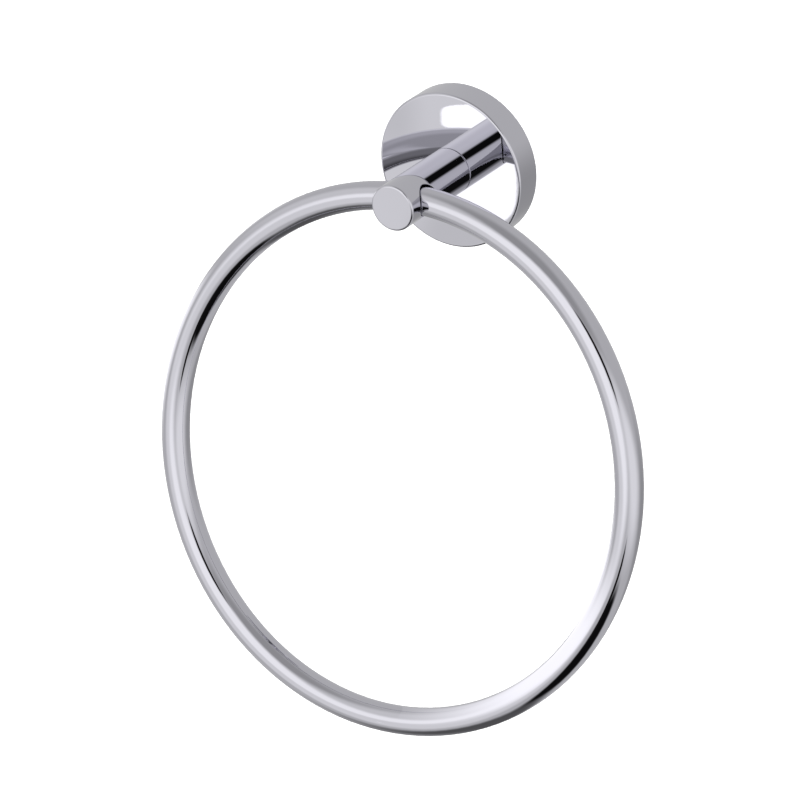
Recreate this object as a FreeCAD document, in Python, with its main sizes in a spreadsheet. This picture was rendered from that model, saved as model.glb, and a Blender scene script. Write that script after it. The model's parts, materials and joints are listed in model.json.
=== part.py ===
import FreeCAD, Part
import math
import os
import Sketcher

# Towel ring on a round wall flange. Millimetres, +Z up. The wall is the plane
# Y = 0, the part stands out towards -Y, and the ring swings about an axis
# parallel to X. Depths are distances from the wall.

os.makedirs("parts", exist_ok=True)
doc = FreeCAD.newDocument("towel_ring")

DRIVING = [
    ("flangeRadius", 27.0),
    ("flangeDepth", 10.5),
    ("flangeEdgeRound", 0.9),
    ("flangeFrontWall", 2.2),
    ("flangeSideWall", 2.0),
    ("flangeRimChamfer", 0.4),
    ("postRadius", 7.95),
    ("postNose", 5.1),
    ("postEdgeRound", 0.9),
    ("postFootRound", 0.4),
    ("spigotRadius", 5.0),
    ("ringAxisReach", 36.2),
    ("ringRadius", 88.0),
    ("barRadius", 4.77),
    ("swingAngle", 12.0),
    ("boreRunning", 0.42),
    ("boreEdgeRound", 0.25),
    ("boreToTap", 3.5),
    ("screwRadius", 2.5),
    ("screwPoint", 0.6),
    ("screwHeadRadius", 4.2),
    ("screwHeadHeight", 2.6),
    ("screwHeadRound", 0.6),
    ("screwSocketFlats", 3.0),
    ("screwSocketDepth", 1.5),
    ("washerRadius", 6.8),
    ("washerThickness", 1.0),
    ("bracketThickness", 6.0),
    ("bracketGrooveDepth", 2.0),
    ("bracketGrooveWidth", 4.8),
    ("bracketGrooveFloor", 2.0),
    ("bracketCentreRadius", 7.0),
    ("bracketEdgeChamfer", 0.3),
    ("wallHoleRadius", 2.3),
    ("wallHoleSink", 2.0),
    ("wallHoleSpacing", 30.0),
    ("setScrewRadius", 2.0),
    ("setScrewPoint", 1.9),
    ("setScrewTipRadius", 0.8),
    ("setScrewSocketFlats", 2.0),
    ("setScrewSocketDepth", 1.6),
    ("setScrewSunk", 0.2),
    ("drillPoint", 1.4),
    ("tapSpare", 2.0),
    ("tapFit", 0.02),
    ("spigotFit", 0.05),
    ("spigotShort", 0.2),
    ("screwFit", 0.25),
    ("coverFit", 0.4),
    ("setScrewFit", 0.1),
]

DERIVED = [
    ("flangeInnerRadius", "=flangeRadius - flangeSideWall"),
    ("flangeInnerFace", "=flangeDepth - flangeFrontWall"),
    ("registerRadius", "=spigotRadius + spigotFit"),
    ("spigotRear", "=flangeInnerFace + spigotShort"),
    ("boreRadius", "=barRadius + boreRunning"),
    ("postReach", "=ringAxisReach + boreRadius + postNose"),
    ("postTapTip", "=ringAxisReach - boreRadius - boreToTap"),
    ("postTapEnd", "=postTapTip - drillPoint"),
    ("screwTip", "=postTapEnd - tapSpare"),
    ("washerHoleRadius", "=screwRadius + screwFit"),
    ("washerRear", "=flangeInnerFace - washerThickness"),
    ("screwHeadRear", "=washerRear - screwHeadHeight"),
    ("screwTipRadius", "=screwRadius - screwPoint"),
    ("screwPointStart", "=screwTip - screwPoint"),
    ("postTapRadius", "=screwRadius + tapFit"),
    ("bracketRadius", "=flangeInnerRadius - coverFit"),
    ("grooveFloorRadius", "=bracketRadius - bracketGrooveDepth"),
    ("grooveRear", "=(bracketThickness - bracketGrooveWidth) / 2"),
    ("grooveFloorRear", "=(bracketThickness - bracketGrooveFloor) / 2"),
    ("grooveFloorFront", "=(bracketThickness + bracketGrooveFloor) / 2"),
    ("grooveFront", "=(bracketThickness + bracketGrooveWidth) / 2"),
    ("wallHoleOffset", "=wallHoleSpacing / 2"),
    ("setScrewDepth", "=bracketThickness / 2"),
    ("setScrewHoleRadius", "=setScrewRadius + tapFit"),
    ("setScrewOuter", "=flangeRadius - setScrewSunk"),
    ("setScrewInner", "=grooveFloorRadius + setScrewFit"),
    ("setScrewPointStart", "=setScrewInner + setScrewPoint"),
]

sizes = doc.addObject("Spreadsheet::Sheet", "Sizes")
row = 1
for alias, value in DRIVING:
    sizes.set("A%d" % row, alias)
    sizes.set("B%d" % row, "%g" % value)
    sizes.setAlias("B%d" % row, alias)
    row = row + 1
doc.recompute()
for alias, formula in DERIVED:
    sizes.set("A%d" % row, alias)
    sizes.set("B%d" % row, formula)
    sizes.setAlias("B%d" % row, alias)
    row = row + 1
    doc.recompute()

# A sketch's own names for its axes, its origin and the points of a curve.
H_AXIS, V_AXIS = range(-1, -3, -1)
ORIGIN = H_AXIS
START, END, CENTRE = range(1, 4)

FULL_TURN = 360
HEX_SIDES = 6
TOUCH = 0.001


def size(alias):
    return float(getattr(sizes, alias))


def new_body(label):
    body = doc.addObject("PartDesign::Body", label)
    body.Label = label
    return body


def sketch_on(body, role, label):
    sketch = body.newObject("Sketcher::SketchObject", label)
    for item in body.Origin.OriginFeatures:
        if item.Role == role:
            sketch.AttachmentSupport = [(item, "")]
    sketch.MapMode = "FlatFace"
    return sketch


def measure(sketch, kind, refs, alias):
    # One dimension of a sketch, taken from the sheet.
    args = [kind] + refs + [size(alias)]
    index = sketch.addConstraint(Sketcher.Constraint(*args))
    sketch.setExpression("Constraints[%d]" % index, "Sizes." + alias)


def place(sketch, geo, pos, across, depth):
    # A point at a distance across from the vertical axis and depth below the
    # horizontal one. None puts it on that axis.
    if across is None:
        sketch.addConstraint(Sketcher.Constraint("PointOnObject", geo, pos, V_AXIS))
    else:
        measure(sketch, "DistanceX", [ORIGIN, START, geo, pos], across)
    if depth is None:
        sketch.addConstraint(Sketcher.Constraint("PointOnObject", geo, pos, H_AXIS))
    else:
        measure(sketch, "DistanceY", [geo, pos, ORIGIN, START], depth)


def spot(across, depth):
    x = 0.0 if across is None else size(across)
    y = 0.0 if depth is None else -size(depth)
    return FreeCAD.Vector(x, y, 0)


def outline(sketch, corners):
    # Closed outline through corners given as (across, depth) names.
    count = len(corners)
    for i in range(count):
        here = spot(*corners[i])
        there = spot(*corners[(i + 1) % count])
        sketch.addGeometry(Part.LineSegment(here, there), False)
    for i in range(count):
        following = (i + 1) % count
        sketch.addConstraint(Sketcher.Constraint("Coincident", i, END, following, START))
    for i in range(count):
        place(sketch, i, START, *corners[i])


def circle(sketch, across, depth, radius, mirrored=False):
    middle = spot(across, depth)
    if mirrored:
        middle.x = -middle.x
    shape = Part.Circle(middle, FreeCAD.Vector(0, 0, 1), size(radius))
    geo = sketch.addGeometry(shape, False)
    if mirrored:
        measure(sketch, "DistanceX", [geo, CENTRE, ORIGIN, START], across)
        sketch.addConstraint(Sketcher.Constraint("PointOnObject", geo, CENTRE, H_AXIS))
    else:
        place(sketch, geo, CENTRE, across, depth)
    measure(sketch, "Radius", [geo], radius)
    return geo


def hexagon(sketch, flats):
    # Regular hexagon round the sketch origin, its width across flats as given.
    reach = size(flats) / math.sqrt(3)
    corners = []
    for i in range(HEX_SIDES):
        angle = math.radians(FULL_TURN / HEX_SIDES * i)
        corners.append(FreeCAD.Vector(reach * math.cos(angle), reach * math.sin(angle), 0))
    for i in range(HEX_SIDES):
        side = Part.LineSegment(corners[i], corners[(i + 1) % HEX_SIDES])
        sketch.addGeometry(side, False)
    through_corners = Part.Circle(FreeCAD.Vector(0, 0, 0), FreeCAD.Vector(0, 0, 1), reach)
    guide = sketch.addGeometry(through_corners, True)
    sketch.addConstraint(Sketcher.Constraint("Coincident", guide, CENTRE, ORIGIN, START))
    for i in range(HEX_SIDES):
        following = (i + 1) % HEX_SIDES
        sketch.addConstraint(Sketcher.Constraint("Coincident", i, END, following, START))
        sketch.addConstraint(Sketcher.Constraint("PointOnObject", i, START, guide))
    for i in range(1, HEX_SIDES):
        sketch.addConstraint(Sketcher.Constraint("Equal", 0, i))
    sketch.addConstraint(Sketcher.Constraint("PointOnObject", 0, START, H_AXIS))
    index = sketch.addConstraint(Sketcher.Constraint("Radius", guide, reach))
    sketch.setExpression("Constraints[%d]" % index, "Sizes.%s / sqrt(3)" % flats)


def turn(body, sketch, label, axis="V_Axis"):
    solid = body.newObject("PartDesign::Revolution", label)
    solid.Profile = sketch
    solid.ReferenceAxis = (sketch, [axis])
    solid.Angle = FULL_TURN
    doc.recompute()
    return solid


def cut(body, sketch, label, reverse=False, both=False, depth=None):
    pocket = body.newObject("PartDesign::Pocket", label)
    pocket.Profile = sketch
    pocket.Reversed = reverse
    if both:
        pocket.SideType = "Symmetric"
    if depth is None:
        pocket.Type = "ThroughAll"
    else:
        pocket.Type = "Length"
        pocket.setExpression("Length", "Sizes." + depth)
    doc.recompute()
    return pocket


def rim_edges(base, radius, depth):
    # Circular edges about the flange axis, by radius and distance from the wall.
    names = []
    level = 0.0 if depth is None else -size(depth)
    for number, edge in enumerate(base.Shape.Edges, 1):
        if not isinstance(edge.Curve, Part.Circle):
            continue
        same_radius = abs(edge.Curve.Radius - size(radius)) < TOUCH
        same_level = abs(edge.Curve.Center.y - level) < TOUCH
        if same_radius and same_level:
            names.append("Edge%d" % number)
    return names


def free_form_edges(base):
    names = []
    for number, edge in enumerate(base.Shape.Edges, 1):
        if not isinstance(edge.Curve, (Part.Circle, Part.Line)):
            names.append("Edge%d" % number)
    return names


def ease(body, kind, base, names, label, amount):
    # Fillet or chamfer on named edges, sized from the sheet.
    feature = body.newObject("PartDesign::" + kind, label)
    feature.Base = (base, names)
    prop = "Radius" if kind == "Fillet" else "Size"
    feature.setExpression(prop, "Sizes." + amount)
    doc.recompute()
    return feature


# Flange cover: a shallow cup, open to the wall, with a register hole for the
# post and a tapped hole through its underside for the set screw.
cover = new_body("flange_cover")
cover_sketch = sketch_on(cover, "XY_Plane", "cover_section")
outline(cover_sketch, [
    ("registerRadius", "flangeDepth"),
    ("flangeRadius", "flangeDepth"),
    ("flangeRadius", None),
    ("flangeInnerRadius", None),
    ("flangeInnerRadius", "flangeInnerFace"),
    ("registerRadius", "flangeInnerFace"),
])
cover_shell = turn(cover, cover_sketch, "cover_shell")
cover_front = rim_edges(cover_shell, "flangeRadius", "flangeDepth")
cover_round = ease(cover, "Fillet", cover_shell, cover_front, "cover_round", "flangeEdgeRound")
cover_rim = rim_edges(cover_round, "flangeInnerRadius", None)
cover_lead = ease(cover, "Chamfer", cover_round, cover_rim, "cover_lead", "flangeRimChamfer")
cover_tap_sketch = sketch_on(cover, "XY_Plane", "cover_tap_section")
circle(cover_tap_sketch, None, "setScrewDepth", "setScrewHoleRadius")
cover_tap = cut(cover, cover_tap_sketch, "cover_tap")

# Post: a turned bar with a rear spigot, a tapped hole from behind, a cross-bore
# that carries the ring, and a small round on each edge that shows.
post = new_body("post")
post_sketch = sketch_on(post, "XY_Plane", "post_section")
outline(post_sketch, [
    (None, "postReach"),
    ("postRadius", "postReach"),
    ("postRadius", "flangeDepth"),
    ("spigotRadius", "flangeDepth"),
    ("spigotRadius", "spigotRear"),
    ("postTapRadius", "spigotRear"),
    ("postTapRadius", "postTapEnd"),
    (None, "postTapTip"),
])
post_turned = turn(post, post_sketch, "post_turned")
post_front = rim_edges(post_turned, "postRadius", "postReach")
post_round = ease(post, "Fillet", post_turned, post_front, "post_round", "postEdgeRound")
post_foot = rim_edges(post_round, "postRadius", "flangeDepth")
post_foot_round = ease(post, "Fillet", post_round, post_foot, "post_foot_round", "postFootRound")
post_bore_sketch = sketch_on(post, "YZ_Plane", "post_bore_section")
post_bore_sketch.setExpression("AttachmentOffset.Base.x", "-Sizes.ringAxisReach")
circle(post_bore_sketch, None, None, "boreRadius")
post_bore = cut(post, post_bore_sketch, "post_bore", both=True)
bore_edges = free_form_edges(post_bore)
post_bore_round = ease(post, "Fillet", post_bore, bore_edges, "post_bore_round", "boreEdgeRound")

# Ring: one closed round bar, its joint hidden in the cross-bore. The arm is the
# line from the bore to the ring's middle, and the ring turns about the axle.
ring = new_body("ring")
ring_sketch = sketch_on(ring, "YZ_Plane", "ring_section")
ring_sketch.setExpression("AttachmentOffset.Base.x", "-Sizes.ringAxisReach")
swing = math.radians(size("swingAngle"))
arm_x = -size("ringRadius") * math.sin(swing)
arm_y = -size("ringRadius") * math.cos(swing)
bar_middle = FreeCAD.Vector(0, 0, 0)
ring_middle = FreeCAD.Vector(arm_x, arm_y, 0)
axle_end = FreeCAD.Vector(arm_x - arm_y, arm_y + arm_x, 0)
bar = circle(ring_sketch, None, None, "barRadius")
arm = ring_sketch.addGeometry(Part.LineSegment(bar_middle, ring_middle), True)
axle = ring_sketch.addGeometry(Part.LineSegment(ring_middle, axle_end), True)
ring_sketch.addConstraint(Sketcher.Constraint("Coincident", arm, START, bar, CENTRE))
ring_sketch.addConstraint(Sketcher.Constraint("Coincident", axle, START, arm, END))
ring_sketch.addConstraint(Sketcher.Constraint("Perpendicular", arm, axle))
ring_sketch.addConstraint(Sketcher.Constraint("Equal", arm, axle))
measure(ring_sketch, "Distance", [arm], "ringRadius")
lean = Sketcher.Constraint("Angle", V_AXIS, START, arm, START, math.pi - swing)
lean_index = ring_sketch.addConstraint(lean)
lean_formula = "180 deg - Sizes.swingAngle * 1 deg"
ring_sketch.setExpression("Constraints[%d]" % lean_index, lean_formula)
ring_bar = turn(ring, ring_sketch, "ring_bar", "Axis1")

# Wall bracket: a disc screwed to the wall inside the cover, with a groove round
# its rim for the set screw and a wide hole round the screw head.
bracket = new_body("wall_bracket")
bracket_sketch = sketch_on(bracket, "XY_Plane", "bracket_section")
outline(bracket_sketch, [
    ("bracketCentreRadius", None),
    ("bracketRadius", None),
    ("bracketRadius", "grooveRear"),
    ("grooveFloorRadius", "grooveFloorRear"),
    ("grooveFloorRadius", "grooveFloorFront"),
    ("bracketRadius", "grooveFront"),
    ("bracketRadius", "bracketThickness"),
    ("bracketCentreRadius", "bracketThickness"),
])
bracket_disc = turn(bracket, bracket_sketch, "bracket_disc")
bracket_rim = rim_edges(bracket_disc, "bracketRadius", "bracketThickness")
bracket_lead = ease(
    bracket, "Chamfer", bracket_disc, bracket_rim, "bracket_lead", "bracketEdgeChamfer"
)
wall_hole_sketch = sketch_on(bracket, "XZ_Plane", "wall_hole_section")
circle(wall_hole_sketch, "wallHoleOffset", None, "wallHoleRadius")
circle(wall_hole_sketch, "wallHoleOffset", None, "wallHoleRadius", mirrored=True)
wall_holes = cut(bracket, wall_hole_sketch, "wall_holes", reverse=True)
hole_rims = rim_edges(wall_holes, "wallHoleRadius", "bracketThickness")
wall_hole_sinks = ease(
    bracket, "Chamfer", wall_holes, hole_rims, "wall_hole_sinks", "wallHoleSink"
)

# Post screw: a round-headed machine screw from behind, with a hexagon socket.
screw = new_body("post_screw")
screw_sketch = sketch_on(screw, "XY_Plane", "screw_section")
outline(screw_sketch, [
    (None, "screwHeadRear"),
    ("screwHeadRadius", "screwHeadRear"),
    ("screwHeadRadius", "washerRear"),
    ("screwRadius", "washerRear"),
    ("screwRadius", "screwPointStart"),
    ("screwTipRadius", "screwTip"),
    (None, "screwTip"),
])
screw_turned = turn(screw, screw_sketch, "screw_turned")
head_rim = rim_edges(screw_turned, "screwHeadRadius", "screwHeadRear")
screw_round = ease(screw, "Fillet", screw_turned, head_rim, "screw_round", "screwHeadRound")
screw_socket_sketch = sketch_on(screw, "XZ_Plane", "screw_socket_section")
screw_socket_sketch.setExpression("AttachmentOffset.Base.z", "Sizes.screwHeadRear")
hexagon(screw_socket_sketch, "screwSocketFlats")
screw_socket = cut(
    screw, screw_socket_sketch, "screw_socket", reverse=True, depth="screwSocketDepth"
)

# Washer between the screw head and the inside of the cover.
washer = new_body("post_washer")
washer_sketch = sketch_on(washer, "XY_Plane", "washer_section")
outline(washer_sketch, [
    ("washerHoleRadius", "washerRear"),
    ("washerRadius", "washerRear"),
    ("washerRadius", "flangeInnerFace"),
    ("washerHoleRadius", "flangeInnerFace"),
])
washer_disc = turn(washer, washer_sketch, "washer_disc")

# Set screw: a headless screw through the cover's underside, its cone in the
# bracket's groove, with a hexagon socket at the outer end.
set_screw = new_body("set_screw")
set_sketch = sketch_on(set_screw, "YZ_Plane", "set_screw_section")
set_sketch.setExpression("AttachmentOffset.Base.x", "-Sizes.setScrewDepth")
outline(set_sketch, [
    (None, "setScrewOuter"),
    ("setScrewRadius", "setScrewOuter"),
    ("setScrewRadius", "setScrewPointStart"),
    ("setScrewTipRadius", "setScrewInner"),
    (None, "setScrewInner"),
])
set_turned = turn(set_screw, set_sketch, "set_screw_turned")
set_socket_sketch = sketch_on(set_screw, "XY_Plane", "set_screw_socket_section")
set_socket_sketch.setExpression("AttachmentOffset.Base.y", "-Sizes.setScrewDepth")
set_socket_sketch.setExpression("AttachmentOffset.Base.z", "-Sizes.setScrewOuter")
hexagon(set_socket_sketch, "setScrewSocketFlats")
set_socket = cut(
    set_screw, set_socket_sketch, "set_screw_socket", reverse=True, depth="setScrewSocketDepth"
)

doc.recompute()
for item in doc.Objects:
    states = " ".join(str(state) for state in item.State)
    if "Invalid" in states or "Error" in states:
        raise RuntimeError("%s: %s" % (item.Label, states))
for body in (cover, post, ring, bracket, screw, washer, set_screw):
    shape = body.Shape
    if shape.isNull() or not shape.isValid():
        raise RuntimeError("%s has no valid shape" % body.Label)
    shape.exportStep("parts/%s.step" % body.Label)
    box = shape.BoundBox
    print(
        body.Label, len(shape.Solids), round(shape.Volume, 1),
        [round(v, 3) for v in (box.XMin, box.XMax, box.YMin, box.YMax, box.ZMin, box.ZMax)],
    )
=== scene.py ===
import json
from math import cos, radians, sin

import bpy
from mathutils import Matrix, Vector


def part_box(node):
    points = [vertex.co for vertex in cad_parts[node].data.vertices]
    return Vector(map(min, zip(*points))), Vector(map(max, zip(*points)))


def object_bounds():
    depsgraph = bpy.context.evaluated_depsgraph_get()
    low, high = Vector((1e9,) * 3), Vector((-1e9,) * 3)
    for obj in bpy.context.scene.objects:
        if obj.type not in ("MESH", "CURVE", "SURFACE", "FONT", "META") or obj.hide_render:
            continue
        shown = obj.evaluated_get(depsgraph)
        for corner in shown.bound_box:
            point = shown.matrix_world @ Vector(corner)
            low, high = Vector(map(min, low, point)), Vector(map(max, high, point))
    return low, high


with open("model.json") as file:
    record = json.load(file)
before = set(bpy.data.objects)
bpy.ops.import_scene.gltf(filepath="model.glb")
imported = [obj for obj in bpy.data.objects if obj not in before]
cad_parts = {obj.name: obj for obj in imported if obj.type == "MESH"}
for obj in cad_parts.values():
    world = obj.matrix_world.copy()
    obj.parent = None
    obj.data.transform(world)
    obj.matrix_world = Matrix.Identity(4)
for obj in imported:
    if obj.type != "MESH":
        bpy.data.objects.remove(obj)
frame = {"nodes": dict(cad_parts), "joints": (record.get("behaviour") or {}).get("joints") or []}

# Towel ring on a white studio floor. Metres; the wall is the plane y = 0, the
# part stands out towards -y, and the ring swings about an axis parallel to x.

CAD_BOX = [list(corner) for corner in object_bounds()]

# The photograph's view, solved from the outlines of flange, post and ring.
PHOTO_PIXELS = 800
VIEW_AZIMUTH = 33.7
VIEW_ELEVATION = 23.22
VIEW_ROLL = -4.37
VIEW_DISTANCE = 2.0
VIEW_TARGET = Vector((-0.03346, 0.0, -0.09209))
FOCAL_PIXELS = 5895.1
SENSOR_MM = 36.0
NEAR_CLIP = 0.1
FAR_CLIP = 50.0

# Floor and lamp.
FLOOR_BELOW = 0.62
FLOOR_SIDE = 12.0
FLOOR_COLOUR = (0.92, 0.92, 0.92, 1.0)
FLOOR_ROUGHNESS = 0.9
LAMP_STRENGTH = 3.0
LAMP_SPREAD = 60.0

# The chrome's and the zinc's colour, lowest and highest roughness, number of
# polishing marks to the metre, and strength of the marks' relief.
CHROME = ((0.645, 0.639, 0.692), 0.002, 0.006, 260.0, 0.008)
ZINC = ((0.60, 0.59, 0.56), 0.28, 0.42, 420.0, 0.3)
CHROME_PARTS = ("flange_cover", "post", "ring")
ZINC_PARTS = ("wall_bracket", "post_screw", "post_washer", "set_screw")
MARK_DETAIL = 6.0
MARK_ROUGHNESS = 0.6
CLOUD_DETAIL = 3.0
MARKS_PER_CLOUD = 12.0
MARK_DEPTH = 0.00002
MARK_RANGE = (0.1, 0.4)
CLOUD_SHADE = 0.96

# How much of the light the plating gives back, the grey of the room, and the
# display's curve from light to grey, which holds for greys above 10.
PLATING_SHINE = 0.65
ROOM_GREY = 169
WHITE_GREY = 255.0
CURVE_OFFSET = 0.055
CURVE_POWER = 2.4

# How square the panels are: 2 is an oval, and more is squarer.
OVAL = 2.5

# Panels and flags: right, up, half width, half height, turn, edge, grey.
PANELS = [
    (-0.07, 0.34, 0.27, 0.27, 0.0, 0.5, 140),
    (-0.37, -0.04, 0.28, 0.25, 0.0, 0.42, 231),
    (-0.50, -0.32, 0.24, 0.14, -35.0, 0.4, 202),
    (-0.52, 0.32, 0.20, 0.18, 20.0, 0.6, 192),
    (0.27, -0.14, 0.30, 0.20, -12.0, 0.6, 213),
    (-0.76, 0.69, 0.20, 0.08, 42.0, 0.6, 198),
    (-0.96, 0.24, 0.12, 0.26, 16.0, 0.5, 240),
    (0.88, -0.31, 0.17, 0.42, 4.0, 0.6, 138),
    (-0.12, -0.90, 0.42, 0.13, 0.0, 0.5, 122),
    (-0.09, -0.82, 0.45, 0.10, -18.0, 0.5, 76),
    (0.10, -0.605, 0.25, 0.18, -8.0, 0.22, 12),
    (-0.058, 0.056, 0.10, 0.062, -45.0, 0.32, 14),
    (0.012, -0.415, 0.115, 0.062, 55.0, 0.25, 16),
]

# Panels that show in the flange's flat face: left, top, right and bottom in the
# photograph's pixels, then squareness, edge and grey. Greys past 255 are white.
WINDOWS = [
    ((418.0, 206.0, 540.0, 270.0), 3.0, 0.4, 187),
    ((375.0, 90.0, 415.0, 150.0), 2.5, 0.9, 190),
    ((441.0, 104.5, 560.0, 129.5), 5.0, 0.035, 262),
    ((452.0, 150.0, 516.5, 224.0), 3.0, 0.035, 262),
]

# The ring's bar, and how far it leans out from the vertical at rest.
RING_BAR = 0.00954
RING_LEAN = 12.0

# The soft white panel before the ring's lower right stretch: its turn down round
# the ring from the right side; the way to it from there, right, up and towards
# the view; its distance and size; the share of it that is fully white; and its
# brightness.
ARC_TURN = 48.0
ARC_WAY = (-0.75, 0.59, 0.29)
ARC_DISTANCE = 0.02
ARC_SIZE = (0.116, 0.19)
ARC_SOLID = 0.19
ARC_GLOW = 1.52


def view_axes():
    """Right, up and back of the photograph's camera."""
    azimuth = radians(VIEW_AZIMUTH)
    elevation = radians(VIEW_ELEVATION)
    roll = radians(VIEW_ROLL)
    back = Vector((
        sin(azimuth) * cos(elevation),
        -cos(azimuth) * cos(elevation),
        sin(elevation),
    ))
    level = Vector((cos(azimuth), sin(azimuth), 0.0))
    upright = back.cross(level)
    right = level * cos(roll) + upright * sin(roll)
    up = upright * cos(roll) - level * sin(roll)
    return right, up, back


RIGHT, UP, BACK = view_axes()


def make_camera():
    """The photograph's camera: nearly without perspective, depth of field off."""
    data = bpy.data.cameras.new("photo_camera")
    data.sensor_width = SENSOR_MM
    data.lens = FOCAL_PIXELS * SENSOR_MM / PHOTO_PIXELS
    data.clip_start = NEAR_CLIP
    data.clip_end = FAR_CLIP
    camera = bpy.data.objects.new("photo_camera", data)
    bpy.context.scene.collection.objects.link(camera)
    turn = Matrix((RIGHT, UP, BACK)).transposed().to_4x4()
    camera.matrix_world = Matrix.Translation(VIEW_TARGET + BACK * VIEW_DISTANCE) @ turn
    bpy.context.scene.camera = camera


class Nodes:
    """Adds and links shader nodes in one tree."""

    def __init__(self, tree):
        self.tree = tree
        tree.nodes.clear()

    def add(self, kind, **settings):
        node = self.tree.nodes.new(kind)
        for name, value in settings.items():
            if name in node.inputs:
                node.inputs[name].default_value = value
            else:
                setattr(node, name, value)
        return node

    def link(self, source, target):
        self.tree.links.new(source, target)

    def maths(self, operation, first, second=None):
        node = self.add("ShaderNodeMath", operation=operation)
        for slot, value in enumerate((first, second)):
            if value is None:
                continue
            if isinstance(value, (int, float)):
                node.inputs[slot].default_value = value
            else:
                self.link(value, node.inputs[slot])
        return node.outputs[0]

    def dot(self, vector, direction):
        node = self.add("ShaderNodeVectorMath", operation="DOT_PRODUCT")
        self.link(vector, node.inputs[0])
        node.inputs[1].default_value = direction
        return node.outputs["Value"]

    def map_range(self, value, start, end, low=0.0, high=1.0, kind="LINEAR"):
        """Carries the value from start..end over to low..high."""
        node = self.add("ShaderNodeMapRange", interpolation_type=kind)
        self.link(value, node.inputs["Value"])
        node.inputs["From Min"].default_value = start
        node.inputs["From Max"].default_value = end
        node.inputs["To Min"].default_value = low
        node.inputs["To Max"].default_value = high
        return node.outputs[0]


def plated_metal(name, colour, rough_low, rough_high, grain, relief_strength):
    """Plated metal: fine polishing marks in its roughness and bump."""
    material = bpy.data.materials.new(name)
    material.use_nodes = True
    nodes = Nodes(material.node_tree)
    output = nodes.add("ShaderNodeOutputMaterial")
    shader = nodes.add("ShaderNodeBsdfPrincipled", Metallic=1.0)
    nodes.link(shader.outputs[0], output.inputs["Surface"])
    place = nodes.add("ShaderNodeTexCoord")
    marks = nodes.add(
        "ShaderNodeTexNoise",
        Scale=grain,
        Detail=MARK_DETAIL,
        Roughness=MARK_ROUGHNESS,
    )
    nodes.link(place.outputs["Object"], marks.inputs["Vector"])
    cloud = nodes.add(
        "ShaderNodeTexNoise",
        Scale=grain / MARKS_PER_CLOUD,
        Detail=CLOUD_DETAIL,
    )
    nodes.link(place.outputs["Object"], cloud.inputs["Vector"])
    both = nodes.maths("MULTIPLY", marks.outputs[0], cloud.outputs[0])
    roughness = nodes.map_range(both, *MARK_RANGE, rough_low, rough_high)
    nodes.link(roughness, shader.inputs["Roughness"])
    tint = nodes.add("ShaderNodeMix", data_type="RGBA")
    nodes.link(cloud.outputs[0], tint.inputs["Factor"])
    bright, shaded = [socket for socket in tint.inputs if socket.type == "RGBA"]
    bright.default_value = (*colour, 1.0)
    shaded.default_value = (*[channel * CLOUD_SHADE for channel in colour], 1.0)
    mixed = next(socket for socket in tint.outputs if socket.type == "RGBA")
    nodes.link(mixed, shader.inputs["Base Color"])
    relief = nodes.add("ShaderNodeBump", Strength=relief_strength, Distance=MARK_DEPTH)
    nodes.link(marks.outputs[0], relief.inputs["Height"])
    nodes.link(relief.outputs[0], shader.inputs["Normal"])
    return material


def dress():
    """Chrome on what shows, zinc on what is hidden behind the cover."""
    chrome = plated_metal("polished_chrome", *CHROME)
    zinc = plated_metal("zinc_plate", *ZINC)
    for names, metal in ((CHROME_PARTS, chrome), (ZINC_PARTS, zinc)):
        for name in names:
            frame["nodes"][name].data.materials[0] = metal


def arc_panel_mesh():
    """The panel's quad, facing the ring, with its middle at UV 0, 0."""
    pivot = Vector(frame["joints"][0]["pos_m"])
    low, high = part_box("ring")
    radius = (high.x - low.x) / 2 - RING_BAR / 2
    lean = radians(RING_LEAN)
    arm = Vector((0.0, -sin(lean), -cos(lean)))
    turn = radians(ARC_TURN)
    side = Vector((1.0, 0.0, 0.0))
    spot = pivot + arm * radius + (side * cos(turn) + arm * sin(turn)) * radius
    tangent = arm * cos(turn) - side * sin(turn)
    way = (RIGHT * ARC_WAY[0] + UP * ARC_WAY[1] + BACK * ARC_WAY[2]).normalized()
    wide = (tangent - way * tangent.dot(way)).normalized() * ARC_SIZE[0] / 2
    tall = way.cross(wide).normalized() * ARC_SIZE[1] / 2
    middle = spot + way * ARC_DISTANCE
    corners = ((-1, -1), (1, -1), (1, 1), (-1, 1))
    mesh = bpy.data.meshes.new("arc_panel")
    mesh.from_pydata([middle + wide * x + tall * y for x, y in corners], [], [(0, 1, 2, 3)])
    layer = mesh.uv_layers.new(name="panel")
    for loop, corner in zip(layer.data, corners):
        loop.uv = corner
    mesh.flip_normals()
    return mesh


def arc_panel():
    """A soft white panel close before the ring's lower right stretch."""
    mesh = arc_panel_mesh()
    panel = bpy.data.objects.new("arc_panel", mesh)
    bpy.context.scene.collection.objects.link(panel)
    panel.visible_camera = False
    panel.visible_shadow = False
    panel.visible_diffuse = False
    material = bpy.data.materials.new("arc_panel")
    material.use_nodes = True
    mesh.materials.append(material)
    nodes = Nodes(material.node_tree)
    output = nodes.add("ShaderNodeOutputMaterial")
    place = nodes.add("ShaderNodeTexCoord")
    reach = nodes.add("ShaderNodeVectorMath", operation="LENGTH")
    nodes.link(place.outputs["UV"], reach.inputs[0])
    fade = nodes.map_range(reach.outputs["Value"], 1.0, ARC_SOLID, kind="SMOOTHSTEP")
    face = nodes.add("ShaderNodeNewGeometry")
    front = nodes.maths("SUBTRACT", 1.0, face.outputs["Backfacing"])
    amount = nodes.maths("MULTIPLY", fade, front)
    clear = nodes.add("ShaderNodeBsdfTransparent")
    glow = nodes.add("ShaderNodeEmission", Strength=ARC_GLOW)
    both = nodes.add("ShaderNodeMixShader")
    nodes.link(amount, both.inputs[0])
    nodes.link(clear.outputs[0], both.inputs[1])
    nodes.link(glow.outputs[0], both.inputs[2])
    nodes.link(both.outputs[0], output.inputs["Surface"])


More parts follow.
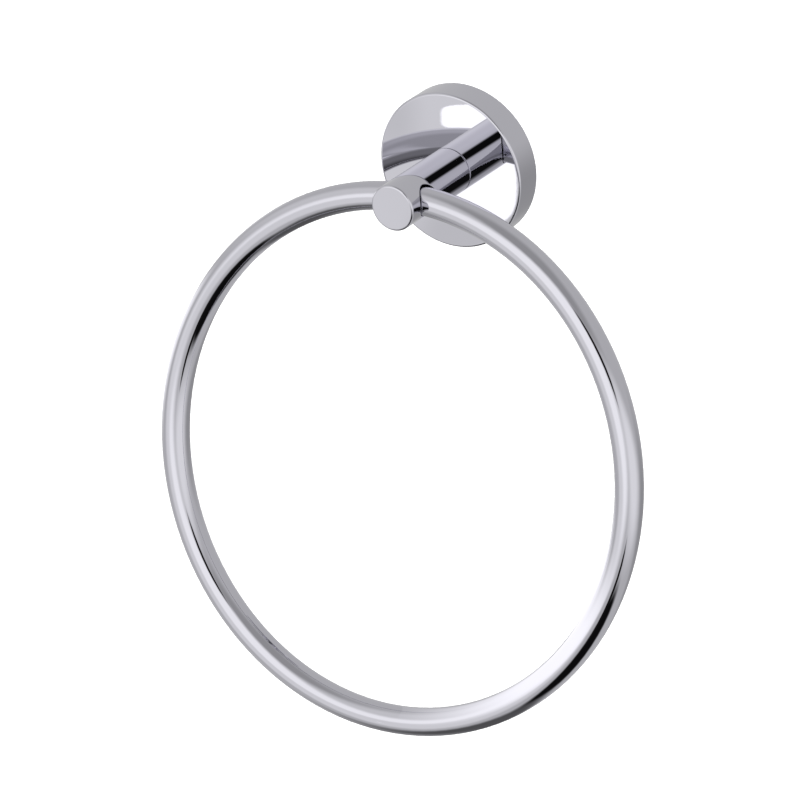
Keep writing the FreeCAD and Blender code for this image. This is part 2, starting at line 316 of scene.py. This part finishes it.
def floor():
    """A pale floor well below the part, kept out of the metal's reflections."""
    bpy.ops.mesh.primitive_plane_add(size=FLOOR_SIDE)
    ground = bpy.context.object
    ground.name = "studio_floor"
    ground.location = (0.0, 0.0, CAD_BOX[0][2] - FLOOR_BELOW)
    material = bpy.data.materials.new("studio_floor")
    material.use_nodes = True
    nodes = Nodes(material.node_tree)
    output = nodes.add("ShaderNodeOutputMaterial")
    shader = nodes.add("ShaderNodeBsdfPrincipled", Roughness=FLOOR_ROUGHNESS)
    shader.inputs["Base Color"].default_value = FLOOR_COLOUR
    nodes.link(shader.outputs[0], output.inputs["Surface"])
    ground.data.materials.append(material)
    ground.visible_glossy = False


def lamp():
    """A wide soft light from overhead that the metal doesn't mirror."""
    data = bpy.data.lights.new("overhead", "SUN")
    data.energy = LAMP_STRENGTH
    data.angle = radians(LAMP_SPREAD)
    light = bpy.data.objects.new("overhead", data)
    light.visible_glossy = False
    bpy.context.scene.collection.objects.link(light)


def display(grey):
    """Light that the plating shows as this grey, from 0 to 255."""
    level = (grey / WHITE_GREY + CURVE_OFFSET) / (1.0 + CURVE_OFFSET)
    return level ** CURVE_POWER / PLATING_SHINE


def panel_mask(nodes, across, rise, middle, reach, turn, edge, squareness):
    """1 inside a soft-edged panel, 0 outside."""
    off_x = nodes.maths("SUBTRACT", across, middle[0])
    off_y = nodes.maths("SUBTRACT", rise, middle[1])
    c, s = cos(radians(turn)), sin(radians(turn))
    along = nodes.maths(
        "ADD",
        nodes.maths("MULTIPLY", off_x, c / reach[0]),
        nodes.maths("MULTIPLY", off_y, s / reach[0]),
    )
    over = nodes.maths(
        "SUBTRACT",
        nodes.maths("MULTIPLY", off_y, c / reach[1]),
        nodes.maths("MULTIPLY", off_x, s / reach[1]),
    )
    powers = nodes.maths(
        "ADD",
        nodes.maths("POWER", nodes.maths("ABSOLUTE", along), squareness),
        nodes.maths("POWER", nodes.maths("ABSOLUTE", over), squareness),
    )
    distance = nodes.maths("POWER", powers, 1.0 / squareness)
    return nodes.map_range(distance, 1.0 + edge, 1.0 - edge, kind="SMOOTHSTEP")


def flange_window(nodes, ray, edges, squareness, edge):
    """A panel that shows in the flat face of the flange, which mirrors y."""
    mirror = Matrix.Diagonal((1.0, -1.0, 1.0))
    ahead = nodes.dot(ray, mirror @ -BACK)
    across = nodes.maths("DIVIDE", nodes.dot(ray, mirror @ RIGHT), ahead)
    rise = nodes.maths("DIVIDE", nodes.dot(ray, mirror @ UP), ahead)
    left, top, right, bottom = edges
    half = PHOTO_PIXELS / 2
    middle = ((left + right) / 2 - half, half - (top + bottom) / 2)
    reach = ((right - left) / 2, (bottom - top) / 2)
    mask = panel_mask(
        nodes,
        across,
        rise,
        [value / FOCAL_PIXELS for value in middle],
        [value / FOCAL_PIXELS for value in reach],
        0.0,
        edge,
        squareness,
    )
    facing = nodes.maths("GREATER_THAN", ahead, 0.0)
    return nodes.maths("MULTIPLY", mask, facing)


def lay_over(nodes, below, mask, grey):
    """The light below, with this grey laid over it where the mask is 1."""
    gain = nodes.maths("SUBTRACT", display(grey), below)
    return nodes.maths("ADD", below, nodes.maths("MULTIPLY", gain, mask))


def studio():
    """A plain white backdrop, and the panels and flags that the metal mirrors.

    A panel's place is the slope of the metal that shows it in the photograph's
    view: right and up, from 0 where the metal faces the view to 1 at its edge.
    """
    world = bpy.data.worlds.new("studio")
    bpy.context.scene.world = world
    world.use_nodes = True
    nodes = Nodes(world.node_tree)
    output = nodes.add("ShaderNodeOutputWorld")
    place = nodes.add("ShaderNodeTexCoord")
    ray = place.outputs["Generated"]
    toward = nodes.add("ShaderNodeVectorMath", operation="ADD")
    nodes.link(ray, toward.inputs[0])
    toward.inputs[1].default_value = BACK
    half = nodes.add("ShaderNodeVectorMath", operation="NORMALIZE")
    nodes.link(toward.outputs[0], half.inputs[0])
    across = nodes.dot(half.outputs[0], RIGHT)
    rise = nodes.dot(half.outputs[0], UP)
    room = nodes.add("ShaderNodeValue")
    room.outputs[0].default_value = display(ROOM_GREY)
    shade = room.outputs[0]
    for x, y, wide, high, turn, edge, grey in PANELS:
        mask = panel_mask(nodes, across, rise, (x, y), (wide, high), turn, edge, OVAL)
        shade = lay_over(nodes, shade, mask, grey)
    for edges, squareness, edge, grey in WINDOWS:
        mask = flange_window(nodes, ray, edges, squareness, edge)
        shade = lay_over(nodes, shade, mask, grey)
    glow = nodes.add("ShaderNodeBackground", Strength=1.0)
    nodes.link(shade, glow.inputs["Color"])
    plain = nodes.add("ShaderNodeBackground", Strength=1.0)
    plain.inputs["Color"].default_value = (1.0, 1.0, 1.0, 1.0)
    rays = nodes.add("ShaderNodeLightPath")
    both = nodes.add("ShaderNodeMixShader")
    nodes.link(rays.outputs["Is Camera Ray"], both.inputs[0])
    nodes.link(glow.outputs[0], both.inputs[1])
    nodes.link(plain.outputs[0], both.inputs[2])
    nodes.link(both.outputs[0], output.inputs["Surface"])


make_camera()
dress()
arc_panel()
floor()
lamp()
studio()
bpy.context.scene.view_settings.view_transform = "Standard"
